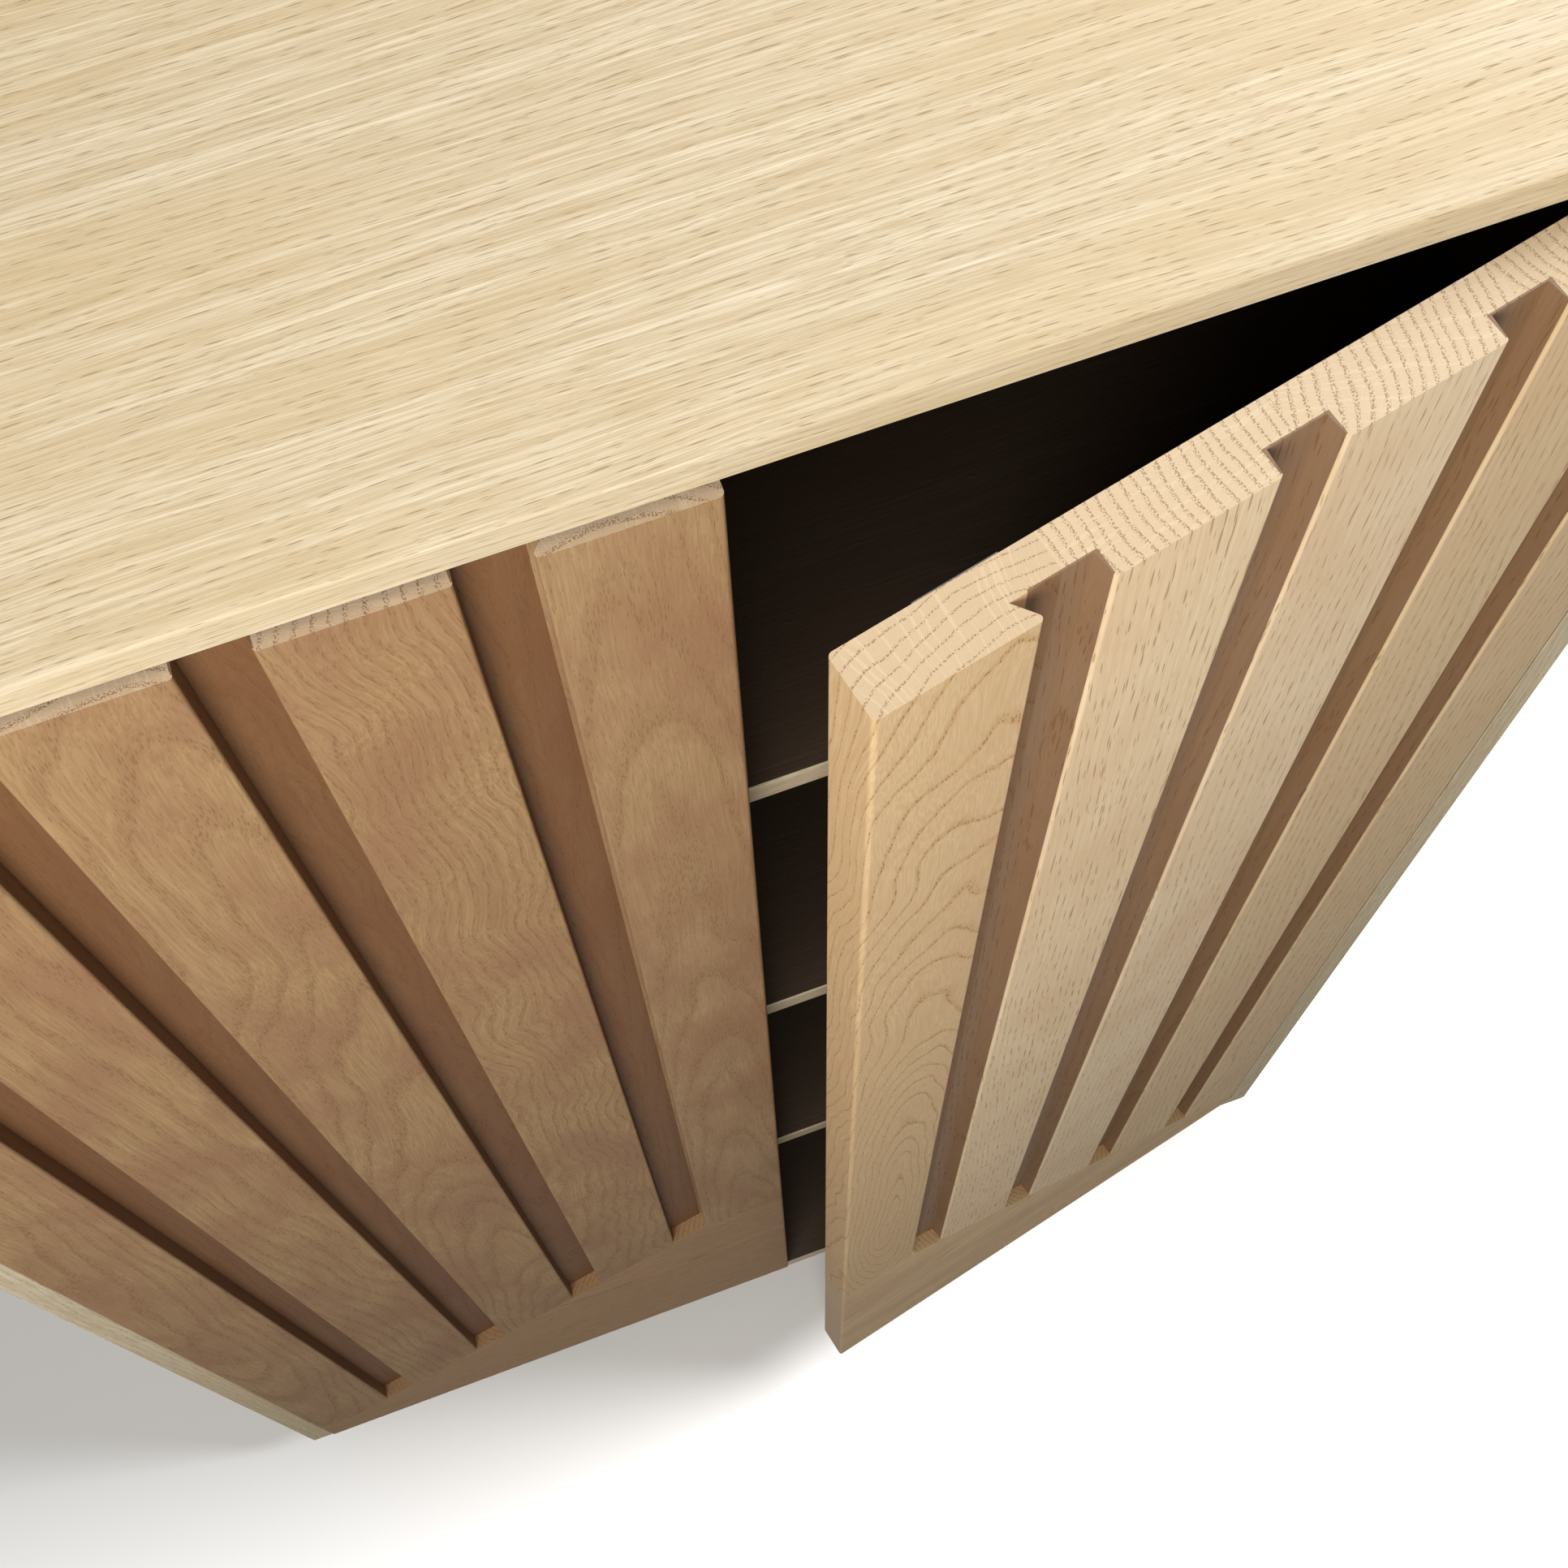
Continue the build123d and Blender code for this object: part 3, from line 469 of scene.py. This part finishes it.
LEFT_TONES = ("#AF8E64", "#8C6843", "#6A482C")
RIGHT_TONES = ("#E8CDA4", "#CDAE82", "#94703F")
LEFT_FIGURE = dict(ring_strength=0.40, pore_strength=0.40, pore=(0.8, 9.0), pore_reach=0.24, pore_base=0.19,
                   blush="#936A4C", blush_strength=0.65, blush_size=(42, 100), fibre_strength=0.6)
RIGHT_FIGURE = dict(ring_strength=0.40, blush="#DDB88F", blush_strength=0.45, pore=(0.9, 20.0), fibre_strength=0.5,
                    end_colour="#CBB698")
STAVES = {
    "left": {
        1: dict(LEFT_FIGURE, heart=(8, -40), ring=5.5, lean=(0.01, 0.045), tones=("#AF8F68", "#91704A", "#735535"),
                seed=3.0),
        2: dict(LEFT_FIGURE, heart=(-60, 48), ring=5.2, lean=(0.05, 0.05), wave=16, wave_length=110,
                tones=LEFT_TONES, seed=7.0),
        3: dict(LEFT_FIGURE, heart=(22, -70), ring=5.5, lean=(0.01, 0.06), wave=15, tones=LEFT_TONES, seed=12.0),
        4: dict(LEFT_FIGURE, heart=(40, 80), ring=4.6, lean=(0.02, 0.02), tones=LEFT_TONES, seed=21.0),
        5: dict(LEFT_FIGURE, heart=(-30, 60), ring=4.5, lean=(0.015, 0.03), tones=LEFT_TONES, seed=31.0)},
    "right": {
        1: dict(RIGHT_FIGURE, heart=(2, -30), ring=4.4, lean=(-0.01, 0.10), wave=11, wave_length=150,
                ring_strength=0.70, band=(0.05, 0.14, 0.24), pore=(0.8, 5.0), pore_reach=0.62, pore_base=-0.12,
                pore_strength=0.75, tones=("#DDBF95", "#BD9763", "#946A38"), blush="#D0AC80", seed=41.0),
        2: dict(RIGHT_FIGURE, heart=(150, 30), ring=4.0, lean=(0.02, 0.02), pore=(1.2, 26.0), pore_reach=0.28,
                pore_base=0.16, tones=("#F0D9B5", "#DABA8F", "#94704A"), seed=47.0),
        3: dict(RIGHT_FIGURE, heart=(-90, 70), ring=4.2, lean=(0.02, 0.02), tones=("#F0DAB8", "#DCBE96", "#98744C"),
                seed=53.0),
        4: dict(RIGHT_FIGURE, heart=(60, 60), ring=4.4, lean=(0.01, 0.03), tones=RIGHT_TONES, seed=59.0),
        5: dict(RIGHT_FIGURE, heart=(-40, 50), ring=4.4, lean=(0.02, 0.02), tones=RIGHT_TONES, seed=61.0)}}
for side, turn_z in (("left", 0.0), ("right", -AJAR)):
    for count, figure in STAVES[side].items():
        node = f"{side}_slat_stave_{count}"
        outer = 1 if side == "left" else -1
        groove = {1: (-outer, 23.6), 5: (outer, 23.6)}.get(count, (0, 29.6))
        dress(node, oak(f"oiled_oak_{side}_slat_{count}", board_origin(node, turn_z), (0, 0, turn_z),
                        groove=groove, **figure))
    rail_tones = ("#EACDA0", "#C9A575", "#94703F") if side == "right" else ("#B59268", "#8F6B45", "#6A4D30")
    rail_lie = Euler((0, math.radians(90), 0)).to_matrix() @ Euler((0, 0, turn_z)).to_matrix()
    dress(f"{side}_bottom_rail", oak(f"oiled_oak_{side}_rail", board_origin(f"{side}_bottom_rail", turn_z),
                                     rail_lie.to_euler(), heart=(40, 34), ring=3.0, lean=(0.02, 0.03),
                                     ring_strength=0.6, fibre_strength=0.6, tones=rail_tones, seed=17.0))
print("oak laid on", sum(len(staves) for staves in STAVES.values()), "slats and two rails")

# %% Lay the case's oak
CASE = dict(heart=(300, 420), ring=2.2, lean=(0.004, 0.004), wave=8.0, wave_length=360.0,
            tones=("#EDE2CA", "#B9A27A", "#866841"), ring_strength=0.40, fibre_strength=0.72, fibre=(0.5, 34),
            pore=(0.62, 12.0), pore_reach=0.24, pore_base=0.12, pore_strength=0.6, blush="#CCB58A",
            blush_strength=0.45, blush_size=(50, 260), streak_strength=0.35, end_colour="#CDB68F")
ALONG_X = (0, math.radians(90), 0)
for node in ("top_panel", "bottom_panel", "back_panel", "plinth_front", "plinth_back"):
    dress(node, oak(f"oiled_oak_{node}", face_centre(node), ALONG_X, painted_shade_from=INSIDE_FRONT,
                    seed=len(node) * 1.7, **CASE))
for node in ("upper_shelf", "middle_shelf", "lower_shelf"):
    dress(node, oak(f"oiled_oak_{node}", face_centre(node), ALONG_X, painted_shade_from=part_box(node)[0].y + MM,
                    seed=len(node) * 1.7, **CASE))
for node in ("left_side_panel", "right_side_panel", "plinth_left", "plinth_right"):
    dress(node, oak(f"oiled_oak_{node}", face_centre(node), (0, 0, 0), painted_shade_from=INSIDE_FRONT,
                    seed=len(node) * 2.3, **CASE))
print("case dressed")

# %% [markdown]
# ## Metal, plastic and beech
#
# The fittings are small, so each material is one family with other numbers. A rolled or pressed metal has fine
# scratches, which change its roughness along one direction. Zinc casting is duller and grainier. Ferrite is a dark
# ceramic. Moulded plastic has a faint orange-peel texture. A metal keeps its default IOR, and its colour is the
# colour of its reflection. The scratches are drawn 0.4 mm apart, coarser than real ones.

# %% The fittings' materials
def fitting_finish(name, colour, roughness, metallic, grain, bump_height):
    """A small part's finish. grain is the size in mm of its scratches or grains along X, Y and Z."""
    material, tree = new_material(name)
    place = add(tree, "ShaderNodeTexCoord", out="Object")
    scales = tuple(1 / (size * MM) for size in grain)
    fine = add(tree, "ShaderNodeMapping", {"Vector": place, "Scale": scales})
    marks = add(tree, "ShaderNodeTexNoise", {"Vector": fine, "Scale": 1.0, "Detail": 3.0}, out="Fac")
    cloudy = add(tree, "ShaderNodeTexNoise", {"Vector": place, "Scale": 90.0, "Detail": 2.0}, out="Fac")
    rough = add(tree, "ShaderNodeMapRange", {
        "Value": marks, "From Min": 0.3, "From Max": 0.7, "To Min": roughness * 0.8, "To Max": roughness * 1.25})
    darker = [channel * 0.82 for channel in linear(colour)[:3]] + [1.0]
    tone = add(tree, "ShaderNodeMix", {0: cloudy, 6: linear(colour), 7: darker}, out=2, data_type="RGBA")
    bump = add(tree, "ShaderNodeBump", {"Height": marks, "Strength": 0.3, "Distance": bump_height * MM})
    surface = add(tree, "ShaderNodeBsdfPrincipled", {
        "Base Color": tone, "Roughness": rough, "Metallic": metallic, "Normal": bump})
    add(tree, "ShaderNodeOutputMaterial", {"Surface": surface})
    return material


FINISHES = {
    "bronzed_steel": ("#6B5744", 0.45, 1.0, (4.0, 0.4, 0.4), 0.05),
    "zinc_plated_steel": ("#C9CBCD", 0.32, 1.0, (4.0, 0.4, 0.4), 0.05),
    "nickel_plated_steel": ("#D6D2C8", 0.22, 1.0, (0.4, 0.4, 4.0), 0.03),
    "cast_zinc": ("#A9ABAD", 0.45, 1.0, (0.8, 0.8, 0.8), 0.08),
    "brass_washer_metal": ("#D9B56A", 0.30, 1.0, (0.5, 0.5, 0.5), 0.03),
    "ferrite_ceramic": ("#2B2B2D", 0.55, 0.0, (0.6, 0.6, 0.6), 0.05),
    "moulded_black_plastic": ("#1A1A1B", 0.42, 0.0, (1.0, 1.0, 1.0), 0.06)}
finishes = {name: fitting_finish(name, *numbers) for name, numbers in FINISHES.items()}
finishes["turned_beech"] = oak("turned_beech", Vector((0, 0, 0)), (0, 0, 0), heart=(90, 120), ring=3.0,
                               tones=("#D9B58C", "#C9A074", "#A97F56"), ring_strength=0.25, pore=(0.8, 3.0),
                               pore_reach=0.10, pore_base=0.12, pore_strength=0.4, blush="#D8AE88",
                               end_colour="#D2AE84", seed=5.0)
WEARS = {
    "bronzed_steel": ("left_upper_hinge_plate", "left_lower_hinge_plate", "right_upper_hinge_plate",
                      "right_lower_hinge_plate", "left_upper_hinge_leaf", "left_lower_hinge_leaf",
                      "right_upper_hinge_leaf", "right_lower_hinge_leaf"),
    "nickel_plated_steel": ("left_strike_plate", "right_strike_plate", "shelf_pins"),
    "cast_zinc": ("cam_discs", "cam_bolts"),
    "brass_washer_metal": ("pivot_washers",),
    "ferrite_ceramic": ("catch_magnets",),
    "moulded_black_plastic": ("left_catch_case", "right_catch_case", "glides"),
    "turned_beech": ("plinth_corner_blocks",)}
for finish, nodes in WEARS.items():
    for node in nodes:
        dress(node, finishes[finish])
print("fittings dressed:", sum(len(nodes) for nodes in WEARS.values()))

# %% [markdown]
# ## Screws and dowels, from one rule each
#
# Forty-four countersunk screws hold the back, the hinges, the catches and the plinth, and 22 fluted beech dowels join
# the boards. Each kind is one shape repeated at many places, which is what Geometry Nodes are for. The frame already
# says where they sit: every screw or dowel is a loose island of its part's mesh. The lesson finds each island's axis
# and its wide end, and puts one point there that carries the direction as an attribute. The tree builds one screw
# from its named sizes, sets it on every point, makes the copies real and gives them their metal.

# %% Find where each screw or dowel sits
def islands(node):
    """The separate solids of a part, each as a list of its points."""
    shape = bmesh.new()
    shape.from_mesh(frame["nodes"][node].data)
    bmesh.ops.remove_doubles(shape, verts=shape.verts, dist=0.01 * MM)
    left, found = set(shape.verts), []
    while left:
        waiting, points = [left.pop()], []
        while waiting:
            vertex = waiting.pop()
            points.append(vertex.co.copy())
            joined = {edge.other_vert(vertex) for edge in vertex.link_edges} & left
            left -= joined
            waiting += joined
        # A set gives its vertices in another order each run, and sorting makes every run the same.
        found.append(sorted(points, key=tuple))
    shape.free()
    return sorted(found, key=lambda points: tuple(round(value, 4) for value in sum(points, Vector()) / len(points)))


def widest_pair(points):
    """The middle of a long thin solid, and its direction, which joins the centres of its two halves."""
    centre = sum(points, Vector()) / len(points)
    far = max(points, key=lambda point: (point - centre).length)
    opposite = max(points, key=lambda point: (point - far).length)
    direction = (opposite - far).normalized()
    for _ in range(8):
        ends = [sum((p for p in points if (p - centre).dot(direction) * way > 0.0), Vector()) for way in (1, -1)]
        counts = [sum(1 for p in points if (p - centre).dot(direction) * way > 0.0) for way in (1, -1)]
        direction = (ends[0] / counts[0] - ends[1] / counts[1]).normalized()
    return centre, direction


def seats(node):
    """For each screw or dowel: the middle of its wide end, the way it points, its length and its end's radius."""
    found = []
    for points in islands(node):
        centre, direction = widest_pair(points)
        heights = [(point - centre).dot(direction) for point in points]
        low, high = min(heights), max(heights)
        radii = [(point - centre - direction * height).length for point, height in zip(points, heights)]
        widest = max(range(len(points)), key=lambda index: radii[index])
        if heights[widest] > (low + high) / 2:
            direction, low, high = -direction, -high, -low
        found.append((centre + direction * low, direction, high - low, radii[widest]))
    return found


_, _, back_screw_length, back_screw_head = seats("back_panel_screws")[0]
print("a back screw is", round(back_screw_length / MM, 1), "mm long, head radius", round(back_screw_head / MM, 2))


# %% Helpers for a Geometry Nodes tree
def new_tree(name, inputs):
    """An empty tree with named inputs, its input node's sockets, and each input's identifier."""
    tree = bpy.data.node_groups.new(name, "GeometryNodeTree")
    tree.interface.new_socket("Geometry", in_out="INPUT", socket_type="NodeSocketGeometry")
    names = {}
    for label, kind in inputs.items():
        names[label] = tree.interface.new_socket(label, in_out="INPUT", socket_type=kind).identifier
    tree.interface.new_socket("Geometry", in_out="OUTPUT", socket_type="NodeSocketGeometry")
    return tree, add(tree, "NodeGroupInput").node.outputs, names


def plant(tree, sockets, shape):
    """Ends a tree: the shape on every point, turned to the point's aim, made real, with its material."""
    aim = add(tree, "GeometryNodeInputNamedAttribute", {"Name": "aim"}, data_type="FLOAT_VECTOR")
    turn = add(tree, "FunctionNodeAlignRotationToVector", {"Vector": aim}, axis="Z")
    copies = add(tree, "GeometryNodeInstanceOnPoints", {
        "Points": sockets["Geometry"], "Instance": shape, "Rotation": turn})
    real = add(tree, "GeometryNodeRealizeInstances", {"Geometry": copies})
    flat = add(tree, "GeometryNodeSetShadeSmooth", {"Geometry": real, "Shade Smooth": False})
    done = add(tree, "GeometryNodeSetMaterial", {"Geometry": flat, "Material": sockets["Material"]})
    add(tree, "NodeGroupOutput", {"Geometry": done})


def grow(node, body, tree, names, sizes, material):
    """Runs a tree on a part's seats, and lets the plain mesh that it makes stand for the part."""
    places = seats(node)
    points = bpy.data.meshes.new(node + "_points")
    points.from_pydata([place[0] for place in places], [], [])
    aims = points.attributes.new("aim", "FLOAT_VECTOR", "POINT")
    for index, place in enumerate(places):
        aims.data[index].vector = place[1]
    holder = bpy.data.objects.new(node + "_points", points)
    scene.collection.objects.link(holder)
    modifier = holder.modifiers.new("grow", "NODES")
    modifier.node_group = tree
    for label, value in sizes.items():
        modifier[names[label]] = value
    modifier[names["Material"]] = material
    graph = bpy.context.evaluated_depsgraph_get()
    mesh = bpy.data.meshes.new_from_object(holder.evaluated_get(graph), depsgraph=graph)
    holder.modifiers.clear()
    bpy.data.objects.remove(holder)
    for attribute in [item for item in mesh.attributes if item.name == "aim"]:
        mesh.attributes.remove(attribute)
    piece = bpy.data.objects.new("turned_" + node, mesh)
    scene.collection.objects.link(piece)
    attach(piece, body)
    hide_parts(node)
    return len(places), len(mesh.polygons)


# %% The tree for a countersunk screw
SCREW_INPUTS = {"Head radius": "NodeSocketFloat", "Head depth": "NodeSocketFloat", "Shank radius": "NodeSocketFloat",
                "Length": "NodeSocketFloat", "Thread turns": "NodeSocketFloat", "Material": "NodeSocketMaterial"}
screw_tree, screw, screw_names = new_tree("countersunk_screw", SCREW_INPUTS)


def frustum(tree, bottom, top, depth, start=0.0):
    """A cone with its end cut off, that starts at a height along the screw."""
    cone = add(tree, "GeometryNodeMeshCone", {
        "Vertices": 24, "Radius Bottom": bottom, "Radius Top": top, "Depth": depth})
    shift = add(tree, "ShaderNodeCombineXYZ", {"Z": start})
    return add(tree, "GeometryNodeTransform", {"Geometry": cone, "Translation": shift})


# The sizes that follow from the named ones.
tip_length = add(screw_tree, "ShaderNodeMath", {0: screw["Shank radius"], 1: 2.2}, operation="MULTIPLY")
core_radius = add(screw_tree, "ShaderNodeMath", {0: screw["Shank radius"], 1: 0.72}, operation="MULTIPLY")
body_length = add(screw_tree, "ShaderNodeMath", {0: screw["Length"], 1: tip_length}, operation="SUBTRACT")
shank_start = add(screw_tree, "ShaderNodeMath", {0: screw["Head depth"], 1: 0.9}, operation="MULTIPLY")
shank_length = add(screw_tree, "ShaderNodeMath", {0: body_length, 1: shank_start}, operation="SUBTRACT")
# The head, with its crossed recess cut out by two bars.
head = frustum(screw_tree, screw["Head radius"], core_radius, screw["Head depth"])
bar_size = add(screw_tree, "ShaderNodeVectorMath", {
    0: (1.15, 0.26, 0.80), "Scale": screw["Head radius"]}, operation="SCALE")
for bar_turn in (0.0, math.radians(90)):
    bar = add(screw_tree, "GeometryNodeMeshCube", {"Size": bar_size})
    bar = add(screw_tree, "GeometryNodeTransform", {"Geometry": bar, "Rotation": (0.0, 0.0, bar_turn)})
    head = add(screw_tree, "GeometryNodeMeshBoolean", {"Mesh 1": head, "Mesh 2": bar}, operation="DIFFERENCE")
shank = frustum(screw_tree, core_radius, core_radius, shank_length, shank_start)
point = frustum(screw_tree, core_radius, 0.05 * MM, tip_length, body_length)
# The thread: a three-sided ridge swept along a spiral.
thread_length = add(screw_tree, "ShaderNodeMath", {0: body_length, 1: 0.72}, operation="MULTIPLY")
ridge_radius = add(screw_tree, "ShaderNodeMath", {0: screw["Shank radius"], 1: 0.27}, operation="MULTIPLY")
spiral = add(screw_tree, "GeometryNodeCurveSpiral", {
    "Resolution": 10, "Rotations": screw["Thread turns"], "Start Radius": core_radius, "End Radius": core_radius,
    "Height": thread_length})
lift = add(screw_tree, "ShaderNodeVectorMath", {0: (0, 0, 0.27), "Scale": body_length}, operation="SCALE")
spiral = add(screw_tree, "GeometryNodeTransform", {"Geometry": spiral, "Translation": lift})
ridge = add(screw_tree, "GeometryNodeCurvePrimitiveCircle", {
    "Resolution": 3, "Radius": ridge_radius}, mode="RADIUS")
thread = add(screw_tree, "GeometryNodeCurveToMesh", {"Curve": spiral, "Profile Curve": ridge, "Fill Caps": True})
whole_screw = add(screw_tree, "GeometryNodeJoinGeometry")
for part in (thread, point, shank, head):
    screw_tree.links.new(part, whole_screw.node.inputs[0])
plant(screw_tree, screw, whole_screw)
print("screw tree nodes:", len(screw_tree.nodes))

# %% Set the screws
SHANK_RATIO = 0.52
HEAD_DEPTH_RATIO = 0.55
SCREWS = {"back_panel_screws": ("carcass", 8.0), "plinth_block_screws": ("carcass", 12.0),
          "hinge_plate_screws": ("carcass", 6.0), "catch_screws": ("carcass", 8.0),
          "left_leaf_screws": ("left_door", 6.0), "right_leaf_screws": ("right_door", 6.0),
          "left_strike_screw": ("left_door", 5.0), "right_strike_screw": ("right_door", 5.0)}
for node, (body, turns) in SCREWS.items():
    _, _, length, head_radius = seats(node)[0]
    values = {"Head radius": head_radius, "Head depth": head_radius * HEAD_DEPTH_RATIO,
              "Shank radius": head_radius * SHANK_RATIO, "Length": length, "Thread turns": turns}
    made = grow(node, body, screw_tree, screw_names, values, finishes["zinc_plated_steel"])
    print(node, "screws and faces:", made)

# %% The tree for a fluted dowel
DOWEL_INPUTS = {"Radius": "NodeSocketFloat", "Length": "NodeSocketFloat", "Flutes": "NodeSocketFloat",
                "Flute depth": "NodeSocketFloat", "Material": "NodeSocketMaterial"}
dowel_tree, dowel, dowel_names = new_tree("fluted_dowel", DOWEL_INPUTS)
rod = add(dowel_tree, "GeometryNodeMeshCylinder", {
    "Vertices": 48, "Side Segments": 8, "Radius": dowel["Radius"], "Depth": dowel["Length"]})
# A wave round the rod draws its surface in between the flutes.
spot = add(dowel_tree, "GeometryNodeInputPosition")
angle = add(dowel_tree, "ShaderNodeMath", {
    0: add(dowel_tree, "ShaderNodeSeparateXYZ", {0: spot}, out="Y"),
    1: add(dowel_tree, "ShaderNodeSeparateXYZ", {0: spot}, out="X")}, operation="ARCTAN2")
angle = add(dowel_tree, "ShaderNodeMath", {0: angle, 1: dowel["Flutes"]}, operation="MULTIPLY")
wave = add(dowel_tree, "ShaderNodeMath", {0: angle}, operation="COSINE")
shrink = add(dowel_tree, "ShaderNodeMath", {0: wave, 1: dowel["Flute depth"], 2: dowel["Flute depth"]},
             operation="MULTIPLY_ADD")
scale = add(dowel_tree, "ShaderNodeMath", {0: 1.0, 1: shrink}, operation="SUBTRACT")
factors = add(dowel_tree, "ShaderNodeCombineXYZ", {"X": scale, "Y": scale, "Z": 1.0})
moved = add(dowel_tree, "ShaderNodeVectorMath", {0: spot, 1: factors}, operation="MULTIPLY")
fluted = add(dowel_tree, "GeometryNodeSetPosition", {"Geometry": rod, "Position": moved})
lift = add(dowel_tree, "ShaderNodeVectorMath", {0: (0, 0, 0.5), "Scale": dowel["Length"]}, operation="SCALE")
seated = add(dowel_tree, "GeometryNodeTransform", {"Geometry": fluted, "Translation": lift})
plant(dowel_tree, dowel, seated)
print("dowel tree nodes:", len(dowel_tree.nodes))

# %% Set the dowels
FLUTES = 16.0
FLUTE_DEPTH = 0.02
DOWELS = {"panel_dowels": "carcass", "left_rail_dowels": "left_door", "right_rail_dowels": "right_door"}
for node, body in DOWELS.items():
    _, _, length, radius = seats(node)[0]
    values = {"Radius": radius, "Length": length, "Flutes": FLUTES, "Flute depth": FLUTE_DEPTH}
    made = grow(node, body, dowel_tree, dowel_names, values, finishes["turned_beech"])
    print(node, "dowels and faces:", made)
